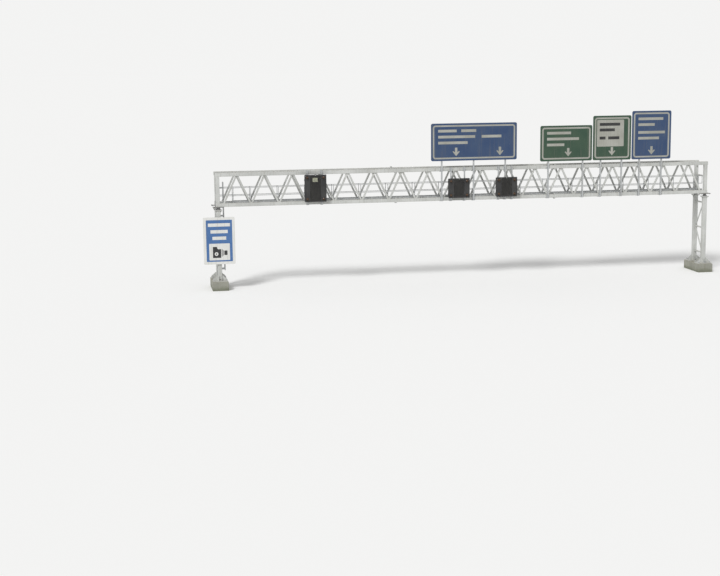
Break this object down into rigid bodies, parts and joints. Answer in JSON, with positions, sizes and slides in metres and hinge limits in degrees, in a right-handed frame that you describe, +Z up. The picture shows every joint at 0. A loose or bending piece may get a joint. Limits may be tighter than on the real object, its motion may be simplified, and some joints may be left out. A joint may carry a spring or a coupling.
{
  "type": "overhead sign gantry",
  "caption": "Portal gantry over a road: a box lattice truss on braced legs and concrete plinths, with direction signs on top, lane signals in front and a sign on one leg.",
  "frame": {"origin": "centre of the left plinth's underside, on the ground, which the legs are set out from", "axes": "+X along the span from the left leg to the right leg, -Y the way the sign faces look, +Z up"},
  "size_m": [37.66, 2.843, 12],
  "materials": {
    "gantry_steel": "pale grey paint over galvanising, weathered, satin",
    "galvanised_steel": "hot-dip galvanised, dull spangle",
    "bearing_steel": "dark grey paint, dusty",
    "concrete": "cast concrete, weathered and damp at its foot, matt",
    "blue_sign_face": "blue retroreflective sheeting on aluminium sheets, satin",
    "green_sign_face": "green retroreflective sheeting on aluminium sheets, dulled",
    "sign_white": "white retroreflective sheeting",
    "signal_black": "matt black powder coat",
    "signal_lens": "unlit smoked amber lens"
  },
  "bodies": {
    "root": {"left_plinth": "concrete", "right_plinth": "concrete", "left_leg_front_column": "gantry_steel", "left_leg_back_column": "gantry_steel", "right_leg_front_column": "gantry_steel", "right_leg_back_column": "gantry_steel", "left_leg_bracing": "gantry_steel", "right_leg_bracing": "gantry_steel", "left_bearings": "bearing_steel", "right_bearings": "bearing_steel", "front_truss_left": "gantry_steel", "front_truss_middle": "gantry_steel", "front_truss_right": "gantry_steel", "back_truss_left": "gantry_steel", "back_truss_middle": "gantry_steel", "back_truss_right": "gantry_steel", "left_end_frame": "gantry_steel", "right_end_frame": "gantry_steel", "top_bracing": "gantry_steel", "bottom_bracing": "gantry_steel", "walkway_floor": "galvanised_steel", "walkway_handrails": "galvanised_steel", "access_ladder": "galvanised_steel", "cable_trunking": "galvanised_steel", "cable_tray": "galvanised_steel", "verge_sign_panel": "blue_sign_face", "verge_sign_rails": "galvanised_steel", "direction_sign_1_panel": "blue_sign_face", "direction_sign_1_frame": "galvanised_steel", "direction_sign_2_panel": "green_sign_face", "direction_sign_2_frame": "galvanised_steel", "direction_sign_3_panel": "green_sign_face", "direction_sign_3_frame": "galvanised_steel", "direction_sign_4_panel": "blue_sign_face", "direction_sign_4_frame": "galvanised_steel", "signal_1_housing": "signal_black", "signal_1_hangers": "galvanised_steel", "signal_2_housing": "signal_black", "signal_2_hangers": "galvanised_steel", "signal_3_housing": "signal_black", "signal_3_hangers": "galvanised_steel"}
  },
  "joints": []
}
